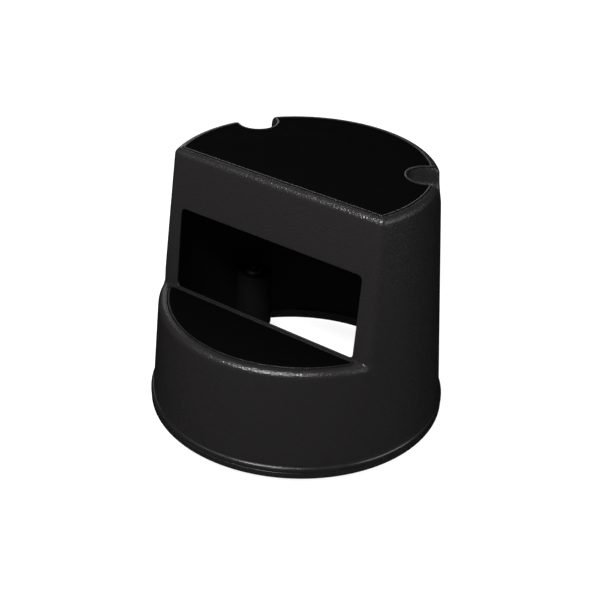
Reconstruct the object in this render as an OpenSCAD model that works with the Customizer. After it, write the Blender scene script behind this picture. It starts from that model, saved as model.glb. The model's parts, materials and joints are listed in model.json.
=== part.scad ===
// Rolling two-step stool: a one-piece plastic shell on three sprung swivel casters.
// The casters carry it while it is moved; stepping on it pushes them in, so that it stands on its rubber ring.
// Millimetres, +Z up, front towards -Y, origin on the floor below the centre.

/* [Overall] */
// Height from the floor to the top of the upper rim
overall_h = 356; // [340:1:380]
// Diameter over the rubber base ring
base_d = 413; // [400:1:430]
// Height from the floor to the lower tread
step_h = 160; // [150:1:175]
// Gap under the base ring while nobody stands on the stool
lift = 6; // [4:0.5:7]

/* [Shell] */
// Diameter of the shell at the top of its wall
top_d = 356; // [340:1:370]
// Distance from the axis to the front wall, at the top
front_top_y = 65.2; // [60:0.5:75]
// Lean of the front wall, millimetres of depth for each millimetre of height
front_lean = 0.11; // [0.06:0.01:0.14]
// Thickness of the walls
wall = 4; // [3:0.5:5]
// Thickness of both decks under their treads
deck_t = 4; // [3:0.5:5]
// Rounding of the upper edges
top_edge_r = 9; // [6:0.5:10]
// Rounding of the lower step's edge
step_edge_r = 8.5; // [6:0.5:10]

/* [Window] */
// Width of the opening in the front wall
window_w = 294; // [260:1:296]
// Height of its top edge above the floor
window_top = 276; // [240:1:290]
// Rounding of its lower corners
window_r = 7; // [4:0.5:10]

/* [Treads] */
// Thickness of the rubber treads
tread_t = 3; // [2:0.5:3.5]
// Radius of the upper tread
upper_tread_r = 166.2; // [155:0.2:167]
// Distance from the axis to the upper tread's straight edge
upper_tread_y = 54.6; // [52:0.2:58]
// Radius of the lower tread
lower_tread_r = 177.5; // [170:0.5:180]
// Distance from the axis to the lower tread's straight edge
lower_tread_y = 90.8; // [90:0.1:96]
// Width of the raised bead round each tread
bead_w = 2.4; // [1.5:0.1:2.4]
// Height of the bead over the rim
bead_h = 0.8; // [0.5:0.1:1]

/* [Grip notches] */
// Angle of each grip notch from the front
notch_a = 120; // [110:1:130]
// Radius of the notch
notch_r = 26; // [22:0.5:28]
// Distance from the axis to the notch's centre
notch_c = 160; // [158:1:164]
// Depth of the notch
notch_depth = 32; // [24:1:36]
// Width of the lip round the notch
notch_lip = 3.6; // [3:0.1:4]

/* [Casters] */
// Distance from the axis to each caster
caster_c = 168; // [165:0.5:169]
// Wheel diameter
wheel_d = 30; // [26:1:30]
// Wheel width
wheel_w = 11; // [9:0.5:11]
// Horizontal distance from the swivel axis to the axle
trail = 7; // [5:0.5:7]
// Diameter of the sliding stem
stem_d = 10; // [8:0.5:11]
// Diameter of the spring wire
wire_d = 2.4; // [1.8:0.1:2.6]
// Turns of the spring
turns = 8; // [6:1:9]

/* [Hidden] */
$fn = 96;
CORNERS = ["front", "rear_left", "rear_right"];
PIECES = ["guide_bushing", "spring", "spring_seat", "stem", "stop_washer", "retaining_clip",
          "bearing_race", "bearing_balls", "fork", "axle", "wheel_hub", "tyre"];

// bearing of each caster from the front, seen from above, positive towards +X
caster_bearing = [0, -120, 120];
eps = 0.01;
fit_gap = 0.05;          // running clearance on a radius
far = 300;               // past every side of the stool

// shell levels
foot_z = lift + 6;
rim_z = overall_h - bead_h;
upper_tread_z = rim_z - 0.2;
step_rim_z = step_h + 0.2;
upper_deck_z = upper_tread_z - tread_t - deck_t;
lower_deck_z = step_h - tread_t - deck_t;
foot_r = base_d / 2 - 3;
top_r = top_d / 2;
taper = (foot_r - top_r) / (overall_h - foot_z);
taper_a = atan(taper);
lean_a = atan(front_lean);
window_z = step_rim_z + bead_h + 0.2;

// caster levels, from the floor up, while the stool is free to roll
wheel_r = wheel_d / 2;
crown_z = wheel_d + 4.5;
crown_t = 3.5;
ball_r = 1.9;
ball_c = 10.5;
race_z = crown_z + crown_t + 2.6;
race_t = 3.4;
collar_z = race_z + race_t;
collar_t = 3;
seat_t = 1.5;
spring_z = collar_z + collar_t + seat_t;
boss_z = foot_z + 13;
web_z = 106;
web_t = 6;
boss_top_z = web_z + web_t;
bushing_flange_t = 2;
stop_z = boss_top_z + bushing_flange_t + 0.1;
stem_r = stem_d / 2;
stem_top_z = stop_z + 7;
pocket_r = 23.8;
boss_r = pocket_r + 2.6;
bushing_r = stem_r + 3;
flange_r = 12;
plate_r = 14.5;
head_r = 5.8;
coil_r = 10.3;
axle_r = 3;
cheek_t = 2.5;
cheek_gap = 0.8;         // between the wheel and each cheek of the fork
rib_t = 3;
rib_x = [-60, 0, 60];
rib_y = 40;
upper_rib_h = 12;
lower_rib_h = 10;
deck_edge_y = -83.5;     // rear edge of the lower deck

// radius of the outer wall, and the y of the front wall, at a height z
function skirt_r(z) = top_r + taper * (overall_h - z);
function front_y(z) = -front_top_y - front_lean * (overall_h - z);
// points of an arc from angle a to angle b
function arc(c, r, a, b, n = 6) =
    [for (i = [0:n]) let (t = a + (b - a) * i / n) [c[0] + r * cos(t), c[1] + r * sin(t)]];

module at_bearing(a, r) { rotate(a) translate([0, -r, 0]) children(); }
module at_caster(i) { at_bearing(caster_bearing[i], caster_c) children(); }
// the wheel trails behind the swivel axis, towards +Y on every caster
module at_swivel(i) { at_caster(i) rotate(90 - caster_bearing[i]) children(); }
module ring(r_out, r_in, z, h) {
    translate([0, 0, z]) difference() {
        cylinder(r = r_out, h = h);
        translate([0, 0, -1]) cylinder(r = r_in, h = h + 2);
    }
}
// a solid from a side view: points are [y, z], and it runs w to each side
module side_view(points, w = far) {
    rotate([90, 0, 90]) translate([0, 0, -w]) linear_extrude(2 * w) polygon(points);
}

// ---------------------------------------------------------------- shell

// everything inside the tapered wall, inset by d, between two heights
module cone_fill(d, z0, z1) {
    rotate_extrude($fn = 180)
        polygon([[0, z0], [skirt_r(z0) - d, z0], [skirt_r(z1) - d, z1], [0, z1]]);
}
// what lies in front of the front wall, d behind its face, above z0
module front_space(d, z0) {
    side_view([[-far, z0], [front_y(z0) + d, z0], [front_y(far + 100) + d, far + 100], [-far, far + 100]]);
}
module outer_form() {
    zc = rim_z - top_edge_r;
    zs = step_rim_z - step_edge_r;
    yc = front_y(zc) + top_edge_r / cos(lean_a);
    rs = skirt_r(zs) - step_edge_r / cos(taper_a);
    difference() {
        rotate_extrude($fn = 180) polygon(concat(
            [[0, foot_z], [skirt_r(foot_z), foot_z]],
            arc([skirt_r(zc) - top_edge_r / cos(taper_a), zc], top_edge_r, taper_a, 90),
            [[0, rim_z]]));
        // the space over the lower step, with the upper step's rounded front edge
        side_view(concat(
            [[-far, step_rim_z], [front_y(step_rim_z), step_rim_z]],
            arc([yc, zc], top_edge_r, 180 - lean_a, 96, 5),
            [[yc, rim_z + 0.4], [yc, rim_z + 20], [-far, rim_z + 20]]));
        // the lower step's rounded edge
        intersection() {
            rotate_extrude($fn = 180) polygon(concat(
                [[rs + step_edge_r + 20, zs - 3], [skirt_r(zs - 3) + eps, zs - 3]],
                arc([rs, zs], step_edge_r, taper_a, 84, 5),
                [[rs - 2, step_rim_z + 0.4], [rs + step_edge_r + 20, step_rim_z + 0.4]]));
            front_space(0, zs - 6);
        }
    }
}
module inner_form(d) {
    difference() {
        cone_fill(d, foot_z - 1, upper_deck_z);
        front_space(d, lower_deck_z);
    }
}
// plan of the upper tread's recess, grown by g
module upper_plan(g) {
    difference() {
        intersection() {
            circle(r = upper_tread_r + g, $fn = 180);
            translate([-far, -upper_tread_y - g]) square(2 * far);
        }
        for (s = [-1, 1]) rotate(s * notch_a) translate([0, -notch_c]) notch_plan(notch_lip - g);
    }
}
module lower_plan(g) {
    intersection() {
        circle(r = lower_tread_r + g, $fn = 180);
        translate([-far, -2 * far - lower_tread_y + g]) square(2 * far);
    }
}
// plan of a notch, grown by g: a half round that runs straight out through the wall
module notch_plan(g) {
    circle(r = notch_r + g);
    translate([-notch_r - g, -2 * notch_r]) square([2 * (notch_r + g), 2 * notch_r]);
}
module at_notches() { for (s = [-1, 1]) at_bearing(s * notch_a, notch_c) children(); }

// ribs under the decks, at rib_x, and at rib_y under the upper one
module upper_ribs() {
    z = upper_deck_z - upper_rib_h;
    for (x = rib_x) translate([x - rib_t / 2, -far, z]) cube([rib_t, 2 * far, upper_rib_h + 1]);
    translate([-far, rib_y - rib_t / 2, z]) cube([2 * far, rib_t, upper_rib_h + 1]);
}
module lower_ribs() {
    z = lower_deck_z - lower_rib_h;
    for (x = rib_x) translate([x - rib_t / 2, -far, z]) cube([rib_t, far + deck_edge_y, lower_rib_h + 1]);
    translate([-far, deck_edge_y - rib_t, z]) cube([2 * far, rib_t, lower_rib_h + 1]);
}
module window_cut() {
    x = window_w / 2 - window_r;
    translate([0, -60, 0]) rotate([90, 0, 0]) linear_extrude(60) {
        for (sx = [-1, 1], z = [window_z + window_r, window_top - window_r])
            translate([sx * x, z]) circle(r = window_r, $fn = 48);
        translate([-x, window_z]) square([2 * x, window_top - window_z]);
        translate([-x - window_r, window_z + window_r])
            square([2 * (x + window_r), window_top - window_z - 2 * window_r]);
    }
}
module caster_boss() {
    translate([0, 0, boss_z]) cylinder(r = boss_r, h = boss_top_z - boss_z);
    translate([-20, -40, boss_z + 5]) cube([40, 40, boss_top_z - boss_z - 8]);
}
module caster_pocket() {
    translate([0, 0, boss_z - 20]) cylinder(r = pocket_r, h = web_z - boss_z + 20);
    translate([0, 0, web_z - 5]) cylinder(r = bushing_r, h = 30);
}

module body_shell() {
    color([0.15, 0.145, 0.15]) difference() {
        union() {
            difference() { outer_form(); inner_form(wall); }
            intersection() {
                inner_form(wall / 2);
                union() { upper_ribs(); for (i = [0:2]) at_caster(i) caster_boss(); }
            }
            intersection() {
                cone_fill(wall / 2, lower_deck_z - lower_rib_h, lower_deck_z + 1);
                lower_ribs();
            }
            intersection() {
                cone_fill(wall / 2, rim_z - notch_depth - wall, rim_z - 1);
                at_notches() translate([0, 0, rim_z - notch_depth - wall])
                    linear_extrude(notch_depth + wall - 1) notch_plan(notch_lip);
            }
            translate([0, 0, rim_z - 1]) linear_extrude(1 + bead_h) upper_plan(bead_w);
            translate([0, 0, step_rim_z - 1]) linear_extrude(1 + bead_h) lower_plan(bead_w);
        }
        translate([0, 0, upper_tread_z - tread_t]) linear_extrude(20) upper_plan(0);
        translate([0, 0, step_h - tread_t]) linear_extrude(20) lower_plan(0);
        at_notches() translate([0, 0, rim_z - notch_depth]) linear_extrude(80) notch_plan(0);
        window_cut();
        for (i = [0:2]) at_caster(i) caster_pocket();
    }
}

// the rubber ring has a channel for the shell's foot, a rounded shoulder and a thin groove
module base_ring() {
    r = base_d / 2;
    slot = skirt_r(foot_z) - wall;
    top_z = foot_z + 11.5;
    shoulder = 4;
    color([0.12, 0.12, 0.125]) rotate_extrude($fn = 180) polygon(concat(
        [[slot - 3, lift + 1], [slot - 2, lift], [r - 2.5, lift]],
        arc([r - 2.5, lift + 2.5], 2.2, -60, 0, 3),
        [[r - 0.3, lift + 9.6], [r - 1.1, lift + 10.1], [r - 1.1, lift + 10.7], [r, lift + 11.2]],
        arc([r - shoulder, top_z - shoulder], shoulder, 0, 80, 5),
        [[skirt_r(top_z), top_z], [skirt_r(foot_z), foot_z], [slot, foot_z],
         [slot - taper * 9, foot_z + 9], [slot - 3, foot_z + 8]]));
}

module upper_tread() {
    color([0.03, 0.03, 0.03]) translate([0, 0, upper_tread_z - tread_t])
        linear_extrude(tread_t) upper_plan(-0.2);
}
module lower_tread() {
    color([0.03, 0.03, 0.03]) translate([0, 0, step_h - tread_t])
        linear_extrude(tread_t) lower_plan(-0.2);
}

// ---------------------------------------------------------------- casters

// flanged bush that guides the stem through the boss
module guide_bushing() {
    color([0.06, 0.06, 0.062]) difference() {
        union() {
            translate([0, 0, web_z - 6]) cylinder(r = bushing_r, h = web_t + 6);
            translate([0, 0, boss_top_z]) cylinder(r = flange_r, h = bushing_flange_t);
        }
        translate([0, 0, web_z - 10]) cylinder(r = stem_r + fit_gap, h = 30);
    }
}
// sliding stem: peened head under the fork, collar over the race, groove for the clip
module stem() {
    color([0.75, 0.76, 0.78]) difference() {
        union() {
            translate([0, 0, crown_z - 2.5]) cylinder(r = head_r, h = 2.4);
            translate([0, 0, crown_z - 2]) cylinder(r = stem_r, h = stem_top_z - crown_z + 1);
            translate([0, 0, collar_z]) cylinder(r = flange_r, h = collar_t);
            translate([0, 0, stem_top_z - 1]) cylinder(r1 = stem_r, r2 = stem_r - 1, h = 1);
        }
        ring(stem_r + 2, stem_r - 1, stop_z + 1.5, 1.2);
    }
}
module spring_seat() {
    color([0.7, 0.7, 0.72]) ring(flange_r + 1, stem_r + fit_gap, collar_z + collar_t, seat_t);
}
module stop_washer() {
    color([0.7, 0.7, 0.72]) ring(stem_r + 5, stem_r + fit_gap, stop_z, 1.4);
}
module retaining_clip() {
    color([0.3, 0.3, 0.32]) difference() {
        ring(stem_r + 3.5, stem_r - 0.95, stop_z + 1.55, 1.1);
        translate([0, -3, stop_z]) cube([20, 6, 5]);
    }
}
// compression spring; the turns lie closer together at its ends
module spring() {
    n = 16;
    sides = 6;
    z0 = spring_z + wire_d / 2;
    z1 = web_z - wire_d / 2;
    steps = turns * n;
    function rise(u) = u - 0.6 * sin(360 * u) / (2 * PI);
    pts = [for (i = [0:steps], k = [0:sides - 1])
        let (t = 360 * i / n, a = 360 * k / sides, r = coil_r + wire_d / 2 * cos(a))
        [r * cos(t), r * sin(t), z0 + (z1 - z0) * rise(i / steps) + wire_d / 2 * sin(a)]];
    skin = [for (i = [0:steps - 1], k = [0:sides - 1]) let (a = i * sides, b = (k + 1) % sides)
        each [[a + k, a + b, a + sides + b], [a + k, a + sides + b, a + sides + k]]];
    ends = [[for (k = [sides - 1:-1:0]) k], [for (k = [0:sides - 1]) steps * sides + k]];
    color([0.6, 0.6, 0.62]) polyhedron(pts, concat(skin, ends));
}
// the race is pressed on the stem; the fork's crown is the other race
module ball_groove(z) { rotate_extrude() translate([ball_c, z]) circle(r = ball_r + 0.1, $fn = 48); }
module bearing_race() {
    color([0.7, 0.71, 0.73]) difference() {
        ring(plate_r, stem_r, race_z, race_t);
        ball_groove(race_z - 1.3);
    }
}
module bearing_balls() {
    color([0.8, 0.8, 0.82]) for (a = [0:30:330])
        rotate(a) translate([ball_c, 0, race_z - 1.3]) sphere(r = ball_r, $fn = 32);
}
// folded fork: crown plate with the ball groove and two cheeks down to the axle
module fork() {
    cheek_y = wheel_w / 2 + cheek_gap;
    eye_r = 6;
    outline = concat([[-9, crown_z + 1], [-9, crown_z - 4]],
                     arc([trail, wheel_r], eye_r, 200, 380, 10),
                     [[trail + 6.5, crown_z - 6], [11, crown_z + 1]]);
    color([0.66, 0.67, 0.7]) difference() {
        union() {
            translate([0, 0, crown_z]) cylinder(r = plate_r, h = crown_t);
            for (s = [-1, 1]) translate([0, s * (cheek_y + cheek_t / 2) + cheek_t / 2, 0])
                rotate([90, 0, 0]) linear_extrude(cheek_t) polygon(outline);
        }
        ball_groove(race_z - 1.3);
        translate([0, 0, crown_z - 5]) cylinder(r = stem_r + fit_gap, h = 20);
        translate([trail, 30, wheel_r]) rotate([90, 0, 0]) cylinder(r = axle_r, h = 60);
    }
}
module axle() {
    half = wheel_w / 2 + cheek_gap + cheek_t;
    color([0.78, 0.79, 0.8]) translate([trail, half, wheel_r]) rotate([90, 0, 0]) {
        cylinder(r = axle_r, h = 2 * half);
        for (z = [-1.5, 2 * half]) translate([0, 0, z]) cylinder(r = axle_r + 1.5, h = 1.5);
    }
}
module wheel_hub() {
    color([0.25, 0.25, 0.26]) translate([trail, 0, wheel_r]) rotate([90, 0, 0]) difference() {
        union() {
            translate([0, 0, -wheel_w / 2]) cylinder(r = 5.2, h = wheel_w);
            translate([0, 0, -wheel_w / 2 + 1]) cylinder(r = wheel_r - 3, h = wheel_w - 2);
        }
        translate([0, 0, -far]) cylinder(r = axle_r + fit_gap, h = 2 * far);
        for (s = [-1, 1]) translate([0, 0, s * (wheel_w / 2 - 1)])
            ring(wheel_r - 5, 6.4, -1.5, 3);
    }
}
module tyre() {
    w = wheel_w / 2;
    color([0.2, 0.2, 0.2]) translate([trail, 0, wheel_r]) rotate([90, 0, 0]) rotate_extrude()
        polygon(concat([[wheel_r - 3, -w + 0.5], [wheel_r - 2, -w]],
                       arc([wheel_r - 2, -w + 2], 2, -80, 0, 4),
                       arc([wheel_r - 2, w - 2], 2, 0, 80, 4),
                       [[wheel_r - 2, w], [wheel_r - 3, w - 0.5]]));
}

body_shell();
base_ring();
upper_tread();
lower_tread();
for (i = [0:2]) {
    c = CORNERS[i];
    at_caster(i) guide_bushing();
    at_caster(i) spring();
    at_caster(i) spring_seat();
    at_caster(i) stem();
    at_caster(i) stop_washer();
    at_caster(i) retaining_clip();
    at_caster(i) bearing_race();
    at_swivel(i) bearing_balls();
    at_swivel(i) fork();
    at_swivel(i) axle();
    at_swivel(i) wheel_hub();
    at_swivel(i) tyre();
}
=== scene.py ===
"""The looks of the rolling two-step stool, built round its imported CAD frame.

Blender objects are in metres, in the stool's own frame: +Z up, front towards -Y, origin on the floor.
The mesh code works in millimetres and in numpy, and new_piece() turns its points into metres.
"""
import json
import math

import bmesh
import bpy
import numpy as np
from mathutils import Matrix, Vector


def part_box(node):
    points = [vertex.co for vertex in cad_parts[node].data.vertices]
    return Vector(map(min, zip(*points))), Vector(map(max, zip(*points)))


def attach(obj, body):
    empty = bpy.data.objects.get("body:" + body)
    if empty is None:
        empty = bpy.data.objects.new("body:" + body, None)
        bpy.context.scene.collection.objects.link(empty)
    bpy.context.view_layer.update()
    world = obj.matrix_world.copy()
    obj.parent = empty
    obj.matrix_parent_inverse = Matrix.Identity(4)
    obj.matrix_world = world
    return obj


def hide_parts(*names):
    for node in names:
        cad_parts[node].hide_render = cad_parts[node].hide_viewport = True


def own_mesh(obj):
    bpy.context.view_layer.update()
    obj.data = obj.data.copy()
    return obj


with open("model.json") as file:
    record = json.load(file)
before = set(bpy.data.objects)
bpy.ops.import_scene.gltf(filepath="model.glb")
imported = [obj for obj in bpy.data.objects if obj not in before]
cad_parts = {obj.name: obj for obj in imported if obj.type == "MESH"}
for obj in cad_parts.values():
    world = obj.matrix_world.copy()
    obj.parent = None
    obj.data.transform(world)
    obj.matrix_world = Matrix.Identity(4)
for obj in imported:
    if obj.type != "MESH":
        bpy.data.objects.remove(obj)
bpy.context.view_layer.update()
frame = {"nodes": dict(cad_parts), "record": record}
CORNERS = ("front", "rear_left", "rear_right")


def box_mm(node):
    """The lowest and highest corners of a CAD node, in millimetres."""
    return [np.array(corner) * 1000 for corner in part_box(node)]


# levels and radii that the frame gives, in millimetres
SHELL_LOW, SHELL_HIGH = box_mm("body_shell")
UPPER_LOW, UPPER_HIGH = box_mm("upper_tread")
LOWER_LOW, LOWER_HIGH = box_mm("lower_tread")
FOOT_Z, FOOT_R, TOP_Z = SHELL_LOW[2], SHELL_HIGH[0], SHELL_HIGH[2]
TREAD_GAP = 0.2                      # round each CAD tread in its recess
UPPER_FLOOR, LOWER_FLOOR = UPPER_LOW[2], LOWER_LOW[2]
UPPER_R = UPPER_HIGH[1] + TREAD_GAP
UPPER_Y = UPPER_LOW[1] - TREAD_GAP   # straight edge of the upper tread's recess
LOWER_R = -LOWER_LOW[1] + TREAD_GAP
LOWER_Y = LOWER_HIGH[1] + TREAD_GAP  # straight edge of the lower tread's recess

# the shell's other dimensions, as the CAD source has them: the front wall's distance and lean, the walls,
# the raised beads, the notches (bearing, centre, radius, depth, lip) and the opening
TOP_R = 178.0
FRONT_Y, LEAN = 65.2, 0.11
WALL, DECK = 4.0, 4.0
BEAD_W, BEAD_H = 2.4, 0.8
RIM_Z = TOP_Z - BEAD_H
STEP_RIM_Z = LOWER_HIGH[2] + TREAD_GAP
UPPER_DECK_Z, LOWER_DECK_Z = UPPER_FLOOR - DECK, LOWER_FLOOR - DECK
NOTCH_A, NOTCH_C, NOTCH_R, NOTCH_DEPTH, NOTCH_LIP = 120.0, 160.0, 26.0, 32.0, 3.6
WINDOW_W, WINDOW_TOP, WINDOW_R = 294.0, 276.0, 7.0
WINDOW_Z = STEP_RIM_Z + BEAD_H + 0.2
TAPER = (FOOT_R - TOP_R) / (TOP_Z - FOOT_Z)

# roundings of the moulding, and the slope of the notches' walls
TOP_EDGE_R, STEP_EDGE_R, UPRIGHT_EDGE_R, INNER_CORNER_R, TIP_R = 9.0, 8.5, 6.0, 1.6, 2.5
NOTCH_EDGE_R, NOTCH_LIP_R, NOTCH_FLOOR_R, NOTCH_DRAFT = 7.0, 1.2, 14.0, 0.05

# height above the step over which the corners of the front wall change their rounding, and the radii
# between which the rims of the notches do
EDGE_BLEND = 20.0
NOTCH_MOUTH = (163.0, 175.0)

# housings, webs and ribs inside the shell; the rear left housing also shows through the opening.
# BOSS_LIFT is above the foot, ROOF_LIFT is a housing's roof above the lower end of its bushing
BOSS_R, POCKET_R, BORE_R, BOSS_LIFT, ROOF_LIFT = 26.4, 23.8, 8.0, 13.0, 6.0
WEB_HALF, FLANGE = 20.0, 2.0
RIB, RIB_X, RIB_Y, UPPER_RIB_H, LOWER_RIB_H, DECK_EDGE_Y = 3.0, (-60, 0, 60), 40.0, 12.0, 10.0, -83.5

FAR = 260.0                          # millimetres, past every wall


# ---------------------------------------------------------------- camera, floor and lights

def make_camera():
    """The photograph's view: from the front right and above, with a long lens and a slight roll."""
    azimuth, elevation, roll = (math.radians(a) for a in (35.66, 29.56, 1.97))
    distance, aim_height = 1.675, 0.186
    back = Vector((math.sin(azimuth) * math.cos(elevation),
                   -math.cos(azimuth) * math.cos(elevation),
                   math.sin(elevation)))
    right = (-back).cross(Vector((0, 0, 1))).normalized()
    up = right.cross(-back)
    right, up = (right * math.cos(roll) + up * math.sin(roll),
                 up * math.cos(roll) - right * math.sin(roll))
    data = bpy.data.cameras.new("camera")
    data.sensor_width = 36
    data.lens = 73.69
    data.shift_x, data.shift_y = 0.0002, -0.0341
    data.clip_start, data.clip_end = 0.05, 60
    camera = bpy.data.objects.new("camera", data)
    bpy.context.collection.objects.link(camera)
    turn = Matrix((right, up, back)).transposed().to_4x4()
    camera.matrix_world = Matrix.Translation(Vector((0, 0, aim_height)) + back * distance) @ turn
    bpy.context.scene.camera = camera


def make_floor():
    """A pale floor that fills the photograph's view. It lights the stool, but no piece mirrors it."""
    size = 14
    mesh = bpy.data.meshes.new("floor")
    mesh.from_pydata([(-size, -size, 0), (size, -size, 0), (size, size, 0), (-size, size, 0)], [],
                     [(0, 1, 2, 3)])
    floor = bpy.data.objects.new("floor", mesh)
    bpy.context.collection.objects.link(floor)
    shader = NodeMaterial("floor_paper")
    shader.set(Base_Color=(0.2, 0.2, 0.2, 1), Roughness=0.9, Specular_IOR_Level=0.1,
               Emission_Color=(1, 1, 1, 1), Emission_Strength=0.9)
    floor.visible_glossy = False
    mesh.materials.append(shader.material)


def area_light(name, place, target, size, watts):
    data = bpy.data.lights.new(name, "AREA")
    data.shape = "RECTANGLE"
    data.size, data.size_y = size
    data.energy = watts
    light = bpy.data.objects.new(name, data)
    light.location = place
    light.rotation_euler = (Vector(target) - Vector(place)).to_track_quat("-Z", "Y").to_euler()
    bpy.context.collection.objects.link(light)


def make_lights():
    """White surroundings that light the stool without being mirrored in it, and area lights that are."""
    world = bpy.data.worlds.new("studio")
    world.use_nodes = True
    world.node_tree.nodes["Background"].inputs["Color"].default_value = (1, 1, 1, 1)
    world.node_tree.nodes["Background"].inputs["Strength"].default_value = 1.0
    world.cycles_visibility.glossy = False
    bpy.context.scene.world = world
    bpy.context.scene.view_settings.view_transform = "Standard"
    area_light("key", (0.15, -0.9, 1.3), (0, 0, 0.2), (0.5, 0.16), 46)
    area_light("front_box", (-1.0, -1.1, 1.5), (0, 0, 0.2), (0.9, 0.9), 2)
    area_light("right_box", (2.2, 0.6, 1.1), (0, 0, 0.2), (1.6, 1.6), 26)
    area_light("rear_box", (-1.7, 1.7, 1.1), (0, 0, 0.2), (1.6, 1.6), 12)


# ---------------------------------------------------------------- materials

class NodeMaterial:
    """A node material with short calls for its nodes and links."""

    def __init__(self, name):
        self.material = bpy.data.materials.new(name)
        self.material.use_nodes = True
        self.tree = self.material.node_tree
        self.shader = self.tree.nodes["Principled BSDF"]
        self.place = self.node("ShaderNodeNewGeometry").outputs["Position"]

    def set(self, **values):
        for name, value in values.items():
            self.shader.inputs[name.replace("_", " ")].default_value = value

    def node(self, kind, inputs=None, **settings):
        made = self.tree.nodes.new(kind)
        for name, value in settings.items():
            setattr(made, name, value)
        for name, value in (inputs or {}).items():
            if isinstance(value, bpy.types.NodeSocket):
                self.tree.links.new(value, made.inputs[name])
            else:
                made.inputs[name].default_value = value
        return made

    def noise(self, scale, detail=2, roughness=0.5):
        settings = {"Vector": self.place, "Scale": scale, "Detail": detail, "Roughness": roughness}
        return self.node("ShaderNodeTexNoise", settings).outputs["Fac"]

    def ramp(self, value, out_low, out_high):
        """Maps the middle of a noise's range, where most of its values lie, to a range of its own."""
        return self.node("ShaderNodeMapRange", {"Value": value, "From Min": 0.3, "From Max": 0.7,
                                                "To Min": out_low, "To Max": out_high}).outputs["Result"]

    def link(self, value, name):
        self.tree.links.new(value, self.shader.inputs[name])

    def bump(self, height, depth, normal=None):
        inputs = {"Height": height, "Distance": depth, "Strength": 1.0}
        if normal is not None:
            inputs["Normal"] = normal
        return self.node("ShaderNodeBump", inputs).outputs["Normal"]


def shell_plastic():
    """Black plastic with a fine moulded grain: pebbles that break its highlights into speckles."""
    m = NodeMaterial("shell_plastic")
    m.set(Base_Color=(0.0068, 0.0062, 0.0064, 1), Specular_IOR_Level=0.3)
    pebbles = m.node("ShaderNodeTexVoronoi", {"Vector": m.place, "Scale": 480.0, "Smoothness": 0.5},
                     feature="SMOOTH_F1").outputs["Distance"]
    normal = m.bump(pebbles, 0.0005)
    m.link(m.bump(m.noise(260, 3), 0.0002, normal), "Normal")
    m.link(m.ramp(m.noise(90, 3), 0.29, 0.34), "Roughness")
    return m.material


def shell_dull_painted_shade():
    """The core side of the same moulding, also put in the grooves: dull, without the grain, and darker as
    painted shade.
    """
    m = NodeMaterial("shell_dull_painted_shade")
    # painted shade: a base colour about a third of the outside's, for the hollow and the grooves, where
    # shade falls
    m.set(Base_Color=(0.0022, 0.0021, 0.0023, 1), Specular_IOR_Level=0.03)
    m.link(m.bump(m.noise(120, 2), 0.0004), "Normal")
    m.link(m.ramp(m.noise(60, 3), 0.6, 0.75), "Roughness")
    return m.material


def tread_rubber():
    m = NodeMaterial("tread_rubber")
    m.set(Base_Color=(0.0007, 0.0008, 0.0007, 1), Specular_IOR_Level=0.004)
    m.link(m.bump(m.noise(900, 2), 0.0003), "Normal")
    m.link(m.ramp(m.noise(60, 3), 0.75, 0.9), "Roughness")
    return m.material


def ring_rubber():
    m = NodeMaterial("ring_rubber")
    m.set(Base_Color=(0.0058, 0.0054, 0.0056, 1), Specular_IOR_Level=0.5)
    m.link(m.bump(m.noise(700, 2), 0.00004), "Normal")
    m.link(m.ramp(m.noise(70, 3), 0.2, 0.28), "Roughness")
    return m.material


def metal(name, colour, rough):
    m = NodeMaterial(name)
    m.set(Base_Color=(*colour, 1), Metallic=1.0)
    m.link(m.ramp(m.noise(500, 4), rough - 0.07, rough + 0.1), "Roughness")
    m.link(m.bump(m.noise(1400, 2), 0.00008), "Normal")
    return m.material


def plain_plastic(name, colour, rough):
    m = NodeMaterial(name)
    m.set(Base_Color=(*colour, 1), Specular_IOR_Level=0.4)
    m.link(m.ramp(m.noise(200, 3), rough - 0.06, rough + 0.08), "Roughness")
    m.link(m.bump(m.noise(900, 2), 0.0001), "Normal")
    return m.material


MATERIALS = {
    "shell_plastic": shell_plastic(),
    "ring_rubber": ring_rubber(),
    "tread_rubber": tread_rubber(),
    "nylon": plain_plastic("nylon", (0.02, 0.02, 0.021), 0.4),
    "spring_steel": metal("spring_steel", (0.42, 0.42, 0.44), 0.34),
    "zinc_plate": metal("zinc_plate", (0.6, 0.62, 0.66), 0.38),
    "bright_steel": metal("bright_steel", (0.68, 0.69, 0.71), 0.22),
    "black_steel": metal("black_steel", (0.05, 0.05, 0.055), 0.4),
    "ball_steel": metal("ball_steel", (0.78, 0.78, 0.8), 0.12),
    "wheel_plastic": plain_plastic("wheel_plastic", (0.03, 0.03, 0.032), 0.42),
    "wheel_tyre": plain_plastic("wheel_tyre", (0.05, 0.05, 0.052), 0.6),
}


# ---------------------------------------------------------------- the shell's form

def heading(degrees):
    """Unit vector in plan, at a bearing from the front towards +X."""
    return np.array([math.sin(math.radians(degrees)), -math.cos(math.radians(degrees))])


def skirt_r(z):
    return TOP_R + TAPER * (TOP_Z - z)


def front_y(z):
    return -FRONT_Y - LEAN * (TOP_Z - z)


def round_max(a, b, r):
    """Distance outside both forms at once, with their shared edge rounded to radius r."""
    return np.minimum(np.maximum(a, b), -r) + np.hypot(np.maximum(a + r, 0), np.maximum(b + r, 0))


def fade(value, low, high):
    """0 below low, 1 above high, and a smooth rise between."""
    t = np.clip((value - low) / (high - low), 0, 1)
    return t * t * (3 - 2 * t)


def notch_plan(x, y, radius, side):
    """Distance outside a notch's plan: a half round that runs straight out through the wall."""
    out, along = heading(side * NOTCH_A), heading(side * NOTCH_A + 90)
    v = x * out[0] + y * out[1] - NOTCH_C
    u = x * along[0] + y * along[1]
    return np.hypot(u, np.minimum(v, 0)) - radius


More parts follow.
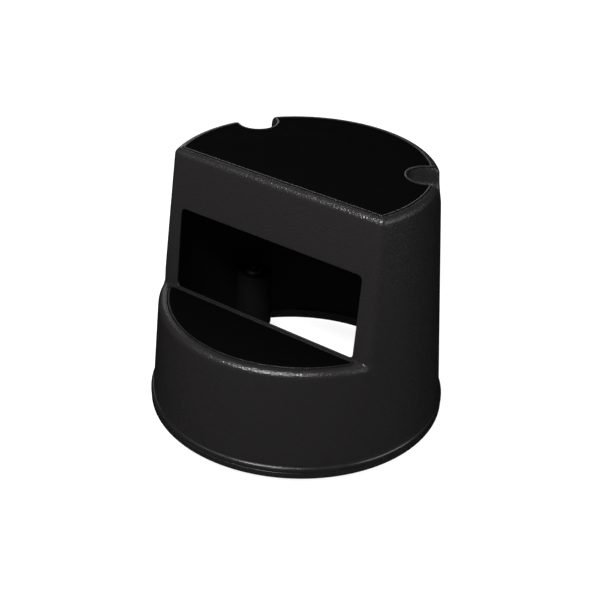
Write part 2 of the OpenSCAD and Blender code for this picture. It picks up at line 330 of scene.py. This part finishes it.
def form(x, y, z, inset):
    """Distance outside the shell's outer form, or with an inset, outside the hollow in it."""
    inner = inset > 0
    step_z, top_z = (LOWER_DECK_Z, UPPER_DECK_Z) if inner else (STEP_RIM_Z, RIM_Z)
    reach = np.hypot(x, y)
    side = (reach - skirt_r(z)) / math.hypot(1, TAPER) + inset
    front = (front_y(z) - y) / math.hypot(1, LEAN) + inset
    over_step = -round_max(-front, step_z - z, INNER_CORNER_R)
    low_down = 1 - fade(z, STEP_RIM_Z, STEP_RIM_Z + EDGE_BLEND)
    edge = UPRIGHT_EDGE_R + (STEP_EDGE_R - UPRIGHT_EDGE_R) * low_down
    solid = round_max(side, over_step, np.maximum(edge - inset, INNER_CORNER_R))
    solid = round_max(solid, z - top_z, max(TOP_EDGE_R - 2 * inset, INNER_CORNER_R))
    grow = NOTCH_LIP if inner else 0
    floor_z = RIM_Z - NOTCH_DEPTH - (WALL if inner else 0)
    rim_round = NOTCH_LIP_R + (NOTCH_EDGE_R - NOTCH_LIP_R) * fade(reach, *NOTCH_MOUTH)
    for sign in (-1, 1):
        plan = notch_plan(x, y, NOTCH_R + grow + NOTCH_DRAFT * (z - RIM_Z), sign)
        scoop = -round_max(plan, floor_z - z, NOTCH_FLOOR_R)
        solid = round_max(solid, scoop, INNER_CORNER_R if inner else rim_round)
    return solid


def upper_plan(x, y):
    """Distance outside the plan of the upper tread's recess."""
    plan = round_max(np.hypot(x, y) - UPPER_R, UPPER_Y - y, 1.5)
    for sign in (-1, 1):
        plan = np.maximum(plan, NOTCH_LIP - notch_plan(x, y, NOTCH_R, sign))
    return plan


def lower_plan(x, y):
    """Distance outside the plan of the lower tread's recess."""
    return round_max(np.hypot(x, y) - LOWER_R, y - LOWER_Y, TIP_R)


# ---------------------------------------------------------------- meshes from rays and loops

def plan_rays():
    """Feet and directions of the rays that cross the shell's outline, once round from the front.

    They leave a convex polygon inside the outline square to its edges and fan out at its corners,
    so that they run straight into the front wall and into both notches. They are closest where they
    cross the rounded corners of the front wall and the side walls of the notches."""
    out, along = heading(NOTCH_A), heading(NOTCH_A + 90)
    back_off, half, wall, fine = 120, 34, 23, 0.5
    corner = np.array([150.0, -40.0])
    near, far = back_off * out - half * along, back_off * out + half * along
    edge = near - corner
    side = 90 + math.degrees(math.atan2(-edge[0], edge[1]))
    across_notch = np.concatenate([np.arange(-half, -wall, fine), np.linspace(-wall, wall, 20),
                                   np.arange(wall + fine, half + 0.1, fine)])
    feet, turns = [], []

    def run(start, end, count, turn):
        for t in np.linspace(0, 1, count, endpoint=False):
            feet.append(start + (end - start) * t)
            turns.append(turn)

    def fan(centre, angles):
        for a in angles:
            feet.append(centre)
            turns.append(a)

    run(np.array([0, corner[1]]), corner, 50, 0)
    fan(corner, np.concatenate([np.linspace(0, 18, 6, endpoint=False),
                                np.linspace(18, 42, 26, endpoint=False),
                                np.linspace(42, side, 18, endpoint=False)]))
    run(corner, near, 22, side)
    fan(near, np.linspace(side, NOTCH_A, 5, endpoint=False))
    for u in across_notch:
        feet.append(back_off * out + u * along)
        turns.append(NOTCH_A)
    fan(far, np.linspace(NOTCH_A, 180, 24, endpoint=False)[1:])
    run(far, np.array([0, far[1]]), 29, 180)
    feet.append(np.array([0, far[1]]))
    turns.append(180.0)
    feet, turns = np.array(feet), np.array(turns)
    left_feet = feet[-2:0:-1] * [-1, 1]
    feet = np.concatenate([feet, left_feet])
    turns = np.radians(np.concatenate([turns, -turns[-2:0:-1]]))
    return feet, np.stack([np.sin(turns), -np.cos(turns)], 1)


FEET, AIMS = plan_rays()


def along_rays(reach):
    """Plan points at a distance along every ray; reach has one row for each ray."""
    return FEET[:, :1] + AIMS[:, :1] * reach, FEET[:, 1:] + AIMS[:, 1:] * reach


def crossing(outside, shape, halvings=26):
    """Distance along each ray, by halving, at which outside() turns positive."""
    low, high = np.zeros(shape), np.full(shape, FAR)
    for _ in range(halvings):
        middle = (low + high) / 2
        out = outside(middle) > 0
        high = np.where(out, middle, high)
        low = np.where(out, low, middle)
    return (low + high) / 2


def plan_loop(level):
    """The loop round the upper recess at a distance outside it, as plan points."""
    reach = crossing(lambda s: upper_plan(*along_rays(s)) - level, (len(FEET), 1))
    return np.concatenate(along_rays(reach), 1)


def skin(inset, end_level, rows):
    """Rows of points over the form, from the foot up to the loop at end_level round the upper recess.

    Each point is where a rising diagonal from a ray's foot leaves the form. Rows draw together at bends."""
    trial_rows, bend_pull, spread = 300, 38, 6
    count = len(FEET)
    end_z = UPPER_DECK_Z if inset > 0 else RIM_Z
    foot = crossing(lambda s: np.hypot(*along_rays(s)) - skirt_r(FOOT_Z) + inset, (count, 1))
    end = crossing(lambda s: upper_plan(*along_rays(s)) - end_level, (count, 1))
    first, last = FOOT_Z - foot, end_z - end

    def solve(rise, halvings):
        s = crossing(lambda s: form(*along_rays(s), rise + s, inset), rise.shape, halvings)
        return s, rise + s

    share = np.linspace(0, 1, trial_rows)[None, :]
    s, z = solve(first + (last - first) * share, halvings=15)
    ds, dz = np.diff(s, axis=1), np.diff(z, axis=1)
    turn = np.abs(np.diff(np.unwrap(np.arctan2(dz, -ds), axis=1), axis=1))
    weight = np.hypot(ds, dz)
    weight[:, 1:] += bend_pull * turn
    for _ in range(2):
        weight = sum(np.roll(weight, k, 0) for k in range(-spread, spread + 1)) / (2 * spread + 1)
    total = np.concatenate([np.zeros((count, 1)), np.cumsum(weight, 1)], 1)
    marks = np.linspace(0, 1, rows)
    shares = np.stack([np.interp(marks, line / line[-1], share[0]) for line in total])
    s, z = solve(first + (last - first) * shares, halvings=26)
    x, y = along_rays(s)
    z[:, 0], z[:, -1] = FOOT_Z, end_z
    return np.stack([x, y, z], 2).transpose(1, 0, 2)


def tube_faces(rows, count, closed=False):
    """Quads that join rows of points into a sleeve, or into a closed ring."""
    quads = []
    for i in range(rows if closed else rows - 1):
        a, b = i * count, (i + 1) % rows * count
        quads += [(a + k, a + (k + 1) % count, b + (k + 1) % count, b + k) for k in range(count)]
    return quads


def new_piece(name, points, faces):
    """An object from points in millimetres, with its faces turned outwards."""
    mesh = bpy.data.meshes.new(name)
    mesh.from_pydata((np.asarray(points).reshape(-1, 3) / 1000).tolist(), [], faces)
    work = bmesh.new()
    work.from_mesh(mesh)
    bmesh.ops.remove_doubles(work, verts=work.verts, dist=1e-7)
    bmesh.ops.recalc_face_normals(work, faces=work.faces)
    work.to_mesh(mesh)
    work.free()
    piece = bpy.data.objects.new(name, mesh)
    bpy.context.collection.objects.link(piece)
    return piece


def stack_of_loops(name, loops):
    """A closed solid from loops of equal length, with a flat cap on the first and on the last."""
    count = len(loops[0])
    faces = tube_faces(len(loops), count)
    faces.append(tuple(range(count))[::-1])
    faces.append(tuple(range((len(loops) - 1) * count, len(loops) * count)))
    return new_piece(name, np.concatenate(loops), faces)


def ring_of_loops(name, loops):
    """A closed ring from loops of equal length, the last joined to the first."""
    return new_piece(name, np.concatenate(loops), tube_faces(len(loops), len(loops[0]), closed=True))


def at_height(loop, z):
    return np.concatenate([loop, np.full((len(loop), 1), z)], 1)


def lower_loop(level):
    """The loop round the lower recess at a distance outside it: an arc, a straight edge, rounded tips."""
    arc_count, tip_count, edge_count = 181, 9, 81
    centre_y = LOWER_Y - TIP_R
    centre_x = math.sqrt((LOWER_R - TIP_R) ** 2 - centre_y ** 2)
    half = math.atan2(centre_x, -centre_y)
    r, tip_r = LOWER_R + level, TIP_R + level
    points = [(r * math.sin(a), -r * math.cos(a)) for a in np.linspace(-half, half, arc_count)]
    tip = [(centre_x + tip_r * math.sin(a), centre_y - tip_r * math.cos(a))
           for a in np.linspace(half, math.pi, tip_count)]
    points += tip[1:]
    points += [(x, LOWER_Y + level) for x in np.linspace(centre_x, -centre_x, edge_count)[1:-1]]
    points += [(-x, y) for x, y in tip[:0:-1]]
    return np.array(points)


def cuboid(name, x, y, z):
    corners = [[a, b, c] for c in z for a, b in ((x[0], y[0]), (x[1], y[0]), (x[1], y[1]), (x[0], y[1]))]
    return stack_of_loops(name, [np.array(corners[:4], float), np.array(corners[4:], float)])


def lathe(name, centre, profile, sides=96):
    """A solid turned round an upright axis; profile is a list of (radius, z)."""
    turn = np.linspace(0, 2 * math.pi, sides, endpoint=False)
    loops = [np.stack([centre[0] + r * np.sin(turn), centre[1] - r * np.cos(turn),
                       np.full(sides, z)], 1) for r, z in profile]
    return stack_of_loops(name, loops)


def combine(piece, others, operation):
    """Adds the other solids to piece, or cuts them from it, and removes them."""
    for other in others:
        step = piece.modifiers.new("combine", "BOOLEAN")
        step.solver = "MANIFOLD"
        step.operation = operation
        step.object = other
    bpy.context.view_layer.update()
    seen = bpy.context.evaluated_depsgraph_get()
    mesh = bpy.data.meshes.new_from_object(piece.evaluated_get(seen))
    piece.modifiers.clear()
    piece.data = mesh
    for other in others:
        bpy.data.objects.remove(other)


def finish_piece(piece, slot, body="stool", replaced=(), degrees=32):
    """Smooth shading with sharp creases above an angle, the material, and the piece's place in the frame."""
    mesh = piece.data
    mesh.materials.clear()
    mesh.materials.append(MATERIALS[slot])
    mesh.polygons.foreach_set("material_index", [0] * len(mesh.polygons))
    mesh.polygons.foreach_set("use_smooth", [True] * len(mesh.polygons))
    mesh.set_sharp_from_angle(angle=math.radians(degrees))
    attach(piece, body)
    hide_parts(*replaced)


# ---------------------------------------------------------------- the shell

def bead(name, loop, z):
    """The raised bead round a recess, sunk into the rim; the recess trims its inner side."""
    sunk = 1.5
    profile = [(-0.6, z - sunk), (-0.6, z + 0.45 * BEAD_H)]
    for a in np.radians(np.linspace(150, 0, 8)):
        profile.append((BEAD_W / 2 + BEAD_W / 2 * math.cos(a), z + BEAD_H * math.sin(a)))
    profile.append((BEAD_W, z - sunk))
    return ring_of_loops(name, [at_height(loop(g), h) for g, h in profile])


def groove(name, loop, z):
    """What the groove outside a bead removes. It runs out before the notches, where the rim is narrow.

    The profile gives distances outside the bead and heights above the rim."""
    profile = [(-0.3, 2.0), (-0.2, -1.0), (0.4, -1.3), (1.0, -1.0), (1.3, 0.1), (1.4, 2.0)]
    clear_of_rim, narrow, wide = 2.6, 2.5, 7.0
    loops = []
    for g, h in profile:
        points = at_height(loop(BEAD_W + g), z + h)
        room = np.minimum(*(notch_plan(points[:, 0], points[:, 1], NOTCH_R, side) for side in (-1, 1)))
        points[:, 2] += clear_of_rim * (1 - fade(room, narrow, wide))
        loops.append(points)
    return ring_of_loops(name, loops)


def recess(name, loop, z):
    past_rim = z + 20
    return stack_of_loops(name, [at_height(loop(0), z), at_height(loop(0), past_rim)])


def window():
    """What the opening in the front wall removes, flared at both faces so that its edges are rounded."""
    up = np.array([0, LEAN, 1]) / math.hypot(1, LEAN)
    inward = np.array([0, 1, -LEAN]) / math.hypot(1, LEAN)
    foot = np.array([0, front_y(WINDOW_Z), WINDOW_Z])
    height = (WINDOW_TOP - WINDOW_Z) * math.hypot(1, LEAN)
    edge_r, past = 0.8, 12.0
    round_over = [(edge_r * (1 - math.sin(a)), edge_r * (1 - math.cos(a)))
                  for a in np.linspace(0, math.pi / 2, 6)]
    profile = [(edge_r, -past)] + round_over
    profile += [(g, WALL - d) for g, d in round_over[::-1]] + [(edge_r, WALL + past)]
    loops = []
    for grow, depth in profile:
        points = []
        for cx, cz, start in ((1, 0, -90), (1, 1, 0), (-1, 1, 90), (-1, 0, 180)):
            for a in np.radians(np.linspace(start, start + 90, 13)):
                across = cx * (WINDOW_W / 2 - WINDOW_R) + (WINDOW_R + grow) * math.cos(a)
                rise = (height - WINDOW_R if cz else WINDOW_R) + (WINDOW_R + grow) * math.sin(a)
                points.append(foot + up * rise + inward * depth + np.array([across, 0, 0]))
        loops.append(np.array(points))
    return stack_of_loops("window", loops)


def boss_centres():
    """Plan centre of each caster's boss, from its bushing in the frame."""
    centres = {}
    for corner in CORNERS:
        low, high = box_mm(f"{corner}_guide_bushing")
        centres[corner] = (low + high)[:2] / 2
    return centres


def bosses():
    """The housings of the casters, each with a web to the wall."""
    top = box_mm("front_guide_bushing")[1][2] - FLANGE
    bottom, round_r = FOOT_Z + BOSS_LIFT, 2.5
    web_z = (bottom + 5, top - 3)
    arc = np.radians(np.linspace(0, 90, 7))
    profile = [(BOSS_R, bottom)]
    profile += [(BOSS_R - round_r * (1 - math.cos(a)), top - round_r * (1 - math.sin(a))) for a in arc]
    made = []
    for name, centre in boss_centres().items():
        made.append(lathe(name + "_boss", centre, profile))
        out = centre / np.linalg.norm(centre)
        aside = WEB_HALF * np.array([-out[1], out[0]])
        loops = []
        for z in web_z:
            reach = math.sqrt((skirt_r(z) - WALL / 2) ** 2 - WEB_HALF ** 2)
            plan = [centre - aside, out * reach - aside, out * reach + aside, centre + aside]
            loops.append(at_height(np.array(plan), z))
        made.append(stack_of_loops(name + "_web", loops))
    return made


def pockets():
    """What the casters' pockets and the bores of their bushings remove from the bosses."""
    roof_z = box_mm("front_guide_bushing")[0][2] + ROOF_LIFT
    bore_low, bore_high = roof_z - 5, roof_z + 30
    made = []
    for name, centre in boss_centres().items():
        made.append(lathe(name + "_pocket", centre, [(POCKET_R, 0), (POCKET_R, roof_z)]))
        made.append(lathe(name + "_bore", centre, [(BORE_R, bore_low), (BORE_R, bore_high)], sides=48))
    return made


def ribs():
    """The ribs under both decks, sunk into the decks and, at their ends, into the walls."""
    in_deck, in_upper_wall, in_lower_wall = 1, 2, 3
    upper_z = (UPPER_DECK_Z - UPPER_RIB_H, UPPER_DECK_Z + in_deck)
    lower_z = (LOWER_DECK_Z - LOWER_RIB_H, LOWER_DECK_Z + in_deck)
    upper_r, lower_r = skirt_r(UPPER_DECK_Z) - in_upper_wall, skirt_r(LOWER_DECK_Z) - in_lower_wall
    made = []
    for x in RIB_X:
        sides = (x - RIB / 2, x + RIB / 2)
        rear = math.sqrt(upper_r ** 2 - x ** 2) - 1
        made.append(cuboid("upper_rib", sides, (front_y(upper_z[0]) + 2, rear), upper_z))
        made.append(cuboid("lower_rib", sides, (-math.sqrt(lower_r ** 2 - x ** 2), DECK_EDGE_Y), lower_z))
    reach = math.sqrt(upper_r ** 2 - (RIB_Y + 2) ** 2)
    made.append(cuboid("cross_rib", (-reach, reach), (RIB_Y - RIB / 2, RIB_Y + RIB / 2), upper_z))
    reach = math.sqrt(lower_r ** 2 - DECK_EDGE_Y ** 2)
    made.append(cuboid("deck_rib", (-reach, reach), (DECK_EDGE_Y - RIB, DECK_EDGE_Y), lower_z))
    return made


def body_shell():
    """The whole shell: grained outside, and on its core side and in the grooves dull and darker, as painted
    shade.
    """
    outer, inner = skin(0, BEAD_W / 2, rows=110), skin(WALL, -WALL, rows=64)
    shell = stack_of_loops("shell", np.concatenate([outer[::-1], inner]))
    combine(shell, [bead("upper_bead", plan_loop, RIM_Z), bead("lower_bead", lower_loop, STEP_RIM_Z)]
            + bosses() + ribs(), "UNION")
    combine(shell, [groove("upper_groove", plan_loop, RIM_Z), groove("lower_groove", lower_loop, STEP_RIM_Z),
                    recess("upper_recess", plan_loop, UPPER_FLOOR),
                    recess("lower_recess", lower_loop, LOWER_FLOOR), window()] + pockets(), "DIFFERENCE")
    finish_piece(shell, "shell_plastic", replaced=["body_shell"])
    shell.data.materials.append(shell_dull_painted_shade())
    centres = np.zeros(len(shell.data.polygons) * 3)
    shell.data.polygons.foreach_get("center", centres)
    x, y, z = centres.reshape(-1, 3).T * 1000
    # painted shade: faces deep inside the shell and at the bottoms of the grooves take the darker, dull copy
    # of the plastic
    dull_and_painted_shade = -form(x, y, z, 0) > WALL / 2
    middle, half, shallow, deep = 0.4, 0.9, 0.1, 1.5    # of a groove, from its bead and down from the rim
    for plan, rim in ((upper_plan, RIM_Z), (lower_plan, STEP_RIM_Z)):
        dull_and_painted_shade |= ((np.abs(plan(x, y) - BEAD_W - middle) < half)
                 & (z < rim - shallow) & (z > rim - deep))
    shell.data.polygons.foreach_set("material_index", dull_and_painted_shade.astype(int).tolist())


# ---------------------------------------------------------------- treads and springs

def tread(name, loop, low, high):
    """A rubber tread with a rounded top edge, a little smaller in plan than its CAD node."""
    gap, round_r = 0.25, 0.7
    loops = [at_height(loop(-gap), low)]
    for a in np.radians(np.linspace(0, 90, 5)):
        loops.append(at_height(loop(-gap - round_r * (1 - math.cos(a))), high - round_r * (1 - math.sin(a))))
    finish_piece(stack_of_loops(name + "_rubber", loops), "tread_rubber", replaced=[name])


def spring(corner):
    """A compression spring of round wire whose turns lie closer at both ends."""
    low, high = box_mm(f"{corner}_spring")
    centre, wire = (low + high)[:2] / 2, 2.4
    coil = (high[0] - low[0] - wire) / 2
    turns, per_turn, sides, crowding = 8, 36, 12, 0.6
    share = np.linspace(0, 1, turns * per_turn + 1)
    climb = share - crowding * np.sin(2 * math.pi * share) / (2 * math.pi)
    heights = low[2] + wire / 2 + (high[2] - low[2] - wire) * climb
    loops = []
    for t, z in zip(share * turns * 2 * math.pi, heights):
        ring = np.linspace(0, 2 * math.pi, sides, endpoint=False)
        r = coil + wire / 2 * np.cos(ring)
        loops.append(np.stack([centre[0] + r * math.cos(t), centre[1] + r * math.sin(t),
                               z + wire / 2 * np.sin(ring)], 1))
    coil_piece = stack_of_loops(corner + "_coil", loops)
    finish_piece(coil_piece, "spring_steel", replaced=[corner + "_spring"])
    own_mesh(coil_piece)


def dress_nodes():
    """Gives every CAD node the material of its slot in the record."""
    for part in frame["record"]["subparts"]:
        node = frame["nodes"][part["node"]]
        node.data.materials.clear()
        node.data.materials.append(MATERIALS[part["material_slot"]])


make_camera()
make_floor()
make_lights()
dress_nodes()
body_shell()
tread("upper_tread", plan_loop, UPPER_FLOOR, UPPER_HIGH[2])
tread("lower_tread", lower_loop, LOWER_FLOOR, LOWER_HIGH[2])
for corner in CORNERS:
    spring(corner)
